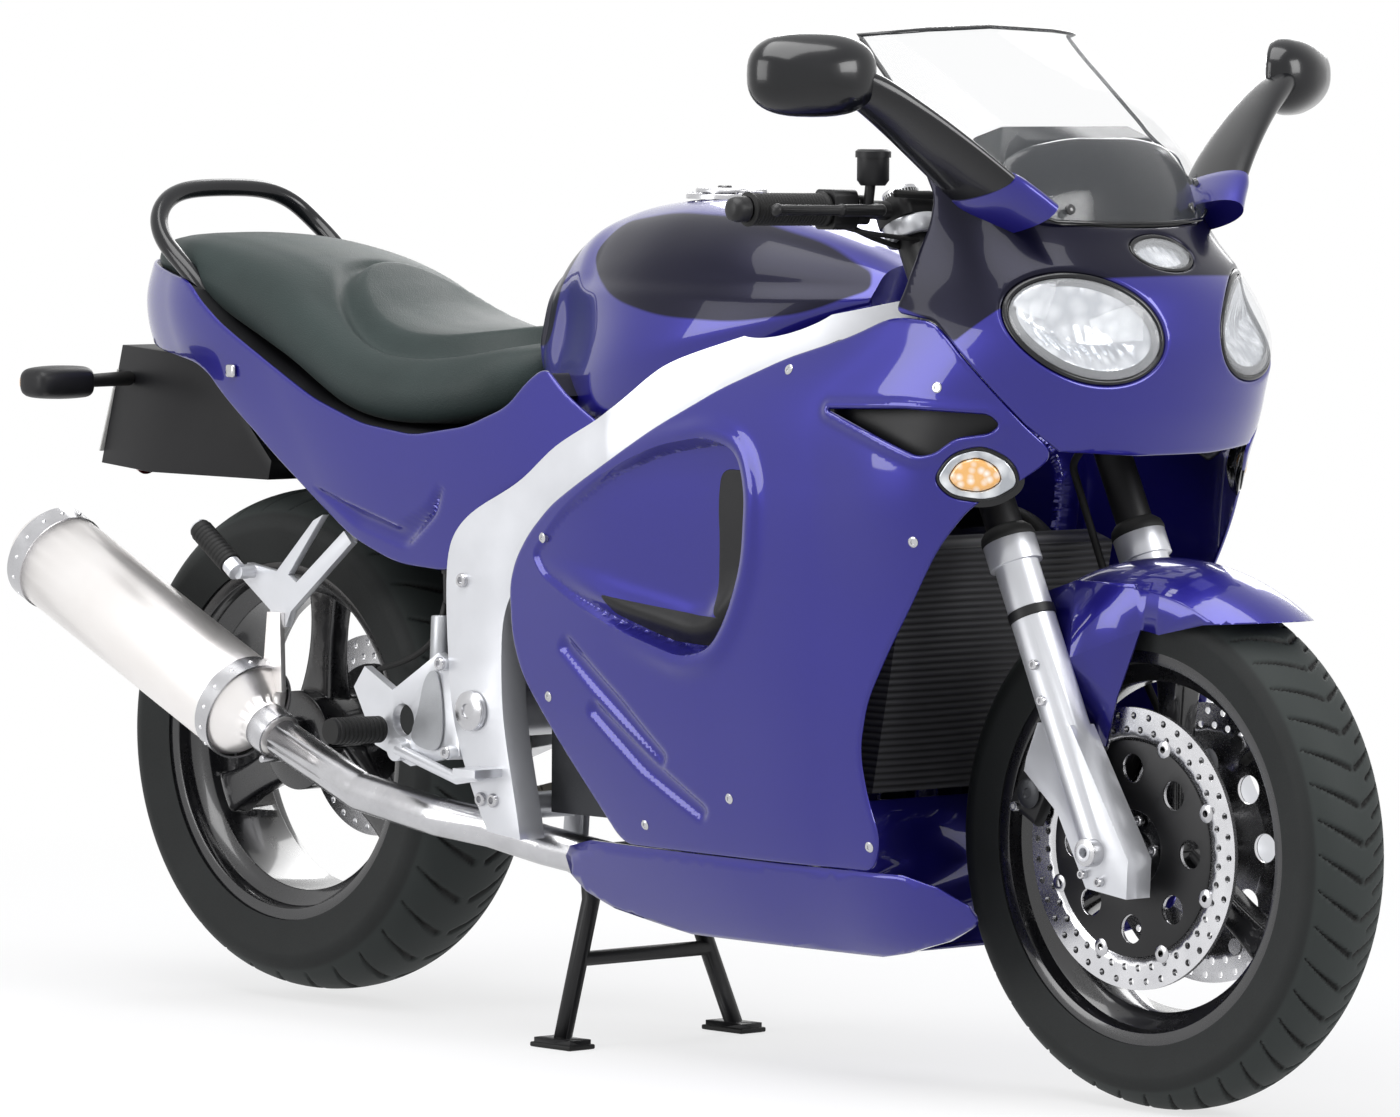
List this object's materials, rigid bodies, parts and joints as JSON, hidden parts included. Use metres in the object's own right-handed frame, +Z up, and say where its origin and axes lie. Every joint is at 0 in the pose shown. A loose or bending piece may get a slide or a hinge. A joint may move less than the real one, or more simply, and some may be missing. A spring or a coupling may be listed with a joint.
{
  "type": "sport touring motorcycle",
  "caption": "Fully faired sport touring motorcycle on its centre stand, with steering, free wheels, folding stands and a hinged fuel cap.",
  "frame": {"origin": "on the floor, at the middle of the machine's length and width", "axes": "+X forward, +Y to the rider's left, +Z up"},
  "size_m": [2.1419, 0.9064, 1.232],
  "materials": {
    "paint": "gloss metallic lacquer",
    "silver_paint": "satin lacquer",
    "black_metal": "gloss black lacquer",
    "cast_alloy": "cast, satin",
    "polished_steel": "brushed",
    "chrome": "polished",
    "tyre_rubber": "matte",
    "vinyl": "grained vinyl",
    "black_plastic": "fine grain",
    "clear_glass": "clear polished",
    "red_lens": "gloss",
    "rubber": "matte"
  },
  "bodies": {
    "chassis": {"main_frame": "silver_paint", "engine": "black_metal", "swingarm": "cast_alloy", "rear_shock": "black_metal", "drive_chain": "polished_steel", "nose_cowl": "paint", "headlights": "clear_glass", "side_fairing_right": "paint", "side_fairing_left": "paint", "indicators": "clear_glass", "belly_pan": "paint", "windscreen": "clear_glass", "fuel_tank": "paint", "seat": "vinyl", "tail_cowl": "paint", "tail_light": "red_lens", "grab_rail": "black_plastic", "rear_subframe": "silver_paint", "rear_mudguard": "black_plastic", "mirrors": "black_plastic", "instrument_cluster": "black_plastic", "radiator": "black_metal", "exhaust_pipes": "polished_steel", "silencer": "polished_steel", "rider_footrests": "cast_alloy", "pillion_footrests": "cast_alloy", "rear_caliper": "cast_alloy"},
    "steering": {"yokes": "silver_paint", "fork_tubes": "chrome", "fork_sliders": "silver_paint", "front_calipers": "cast_alloy", "front_mudguard": "paint", "handlebars": "black_metal", "hand_controls": "rubber", "brake_hoses": "rubber"},
    "front_wheel": {"front_wheel": "black_metal", "front_tyre": "tyre_rubber", "front_brake_discs": "polished_steel"},
    "rear_wheel": {"rear_wheel": "black_metal", "rear_tyre": "tyre_rubber", "rear_brake_disc": "polished_steel", "rear_axle": "cast_alloy"},
    "centre_stand": {"centre_stand": "black_metal"},
    "side_stand": {"side_stand": "black_metal"},
    "fuel_cap": {"fuel_cap": "cast_alloy"}
  },
  "joints": [
    {"name": "steering_turn", "type": "hinge", "parent": "chassis", "child": "steering", "pos_m": [0.46631, 0, 0.87], "axis": [-0.4226, 0, 0.9063], "range_deg": [-23, 23]},
    {"name": "front_wheel_spin", "type": "hinge", "parent": "steering", "child": "front_wheel", "pos_m": [0.78, 0, 0.3], "axis": [0, 1, 0], "continuous": true},
    {"name": "rear_wheel_spin", "type": "hinge", "parent": "chassis", "child": "rear_wheel", "pos_m": [-0.69, 0, 0.327], "axis": [0, 1, 0], "continuous": true},
    {"name": "centre_stand_fold", "type": "hinge", "parent": "chassis", "child": "centre_stand", "pos_m": [-0.118, 0, 0.225], "axis": [0, 1, 0], "range_deg": [0, 88]},
    {"name": "side_stand_swing", "type": "hinge", "parent": "chassis", "child": "side_stand", "pos_m": [-0.022, 0.214, 0.236], "axis": [0, 0.9703, 0.2419], "range_deg": [-105, 0]},
    {"name": "fuel_cap_hinge", "type": "hinge", "parent": "chassis", "child": "fuel_cap", "pos_m": [0.086, 0, 1.027], "axis": [0, 1, 0], "range_deg": [0, 100]}
  ]
}
